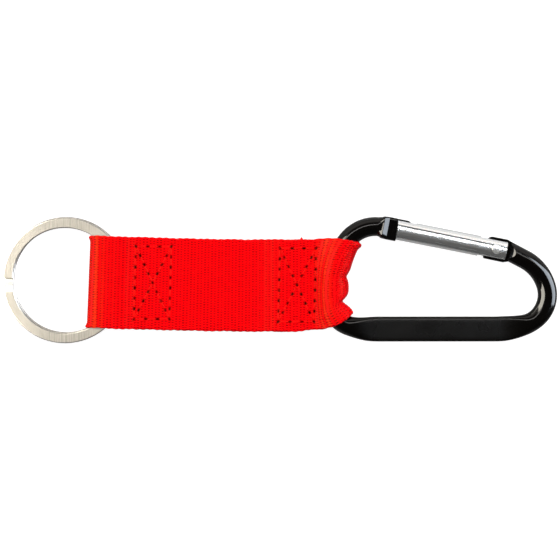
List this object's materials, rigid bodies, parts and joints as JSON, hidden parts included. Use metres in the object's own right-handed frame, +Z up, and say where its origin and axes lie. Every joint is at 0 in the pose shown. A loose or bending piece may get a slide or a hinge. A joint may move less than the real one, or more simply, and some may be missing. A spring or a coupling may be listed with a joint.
{
  "type": "carabiner keyring",
  "caption": "Keyring strap: a split ring and a small spring-gate carabiner joined by a box-stitched webbing strap looped round both.",
  "frame": {"origin": "centre of the whole keyring's box, on the surface it lies on", "axes": "+X from the split ring to the carabiner, +Y towards the gate's side, +Z up from the surface that it lies on"},
  "size_m": [0.1514, 0.0346, 0.0084],
  "materials": {
    "carabiner_frame": "gloss black anodised",
    "gate_sleeve": "polished and clear anodised",
    "hinge_rivet": "bright steel",
    "gate_spring": "drawn spring wire",
    "spring_plunger": "turned steel",
    "webbing": "red ribbed polyester webbing",
    "thread": "red twisted polyester thread",
    "split_ring": "brushed nickel plate"
  },
  "bodies": {
    "carabiner": {"carabiner_frame": "carabiner_frame", "hinge_rivet": "hinge_rivet", "webbing_carabiner_end": "webbing", "carabiner_end_needle_thread": "thread", "carabiner_end_bobbin_thread": "thread"},
    "gate": {"gate_sleeve": "gate_sleeve", "gate_spring": "gate_spring"},
    "plunger": {"spring_plunger": "spring_plunger"},
    "strap_middle": {"webbing_middle": "webbing"},
    "strap_ring_end": {"webbing_ring_end": "webbing", "ring_end_needle_thread": "thread", "ring_end_bobbin_thread": "thread"},
    "ring": {"split_ring": "split_ring"}
  },
  "joints": [
    {"name": "gate_hinge", "type": "hinge", "parent": "carabiner", "child": "gate", "pos_m": [0.05906, 0.00843, 0.003], "axis": [0.0279, 0, 0.9996], "range_deg": [0, 38], "stiffness_Nm_per_rad": 0.02, "springref_deg": -45.84},
    {"name": "plunger_slide", "type": "slide", "parent": "gate", "child": "plunger", "axis": [-0.9809, 0.1925, 0.0274], "range_m": [0, 0.00095], "deforming": ["gate_spring"]},
    {"name": "strap_bend_at_carabiner_end", "type": "hinge", "parent": "carabiner", "child": "strap_middle", "pos_m": [-0.00415, -0.00152, 0.0018], "axis": [0.0157, 0.9999, 0], "range_deg": [0, 90]},
    {"name": "strap_bend_at_ring_end", "type": "hinge", "parent": "strap_middle", "child": "strap_ring_end", "pos_m": [-0.02645, -0.00117, 0.0018], "axis": [0.0157, 0.9999, 0], "range_deg": [0, 90]},
    {"name": "ring_turn", "type": "hinge", "parent": "strap_ring_end", "child": "ring", "pos_m": [-0.05865, -0.00017, 0.00208], "axis": [-0.061, 0, 0.9981], "continuous": true}
  ],
  "couplings": [
    {"joint": "plunger_slide", "follows": "gate_hinge", "m_per_rad": 0.00136}
  ]
}
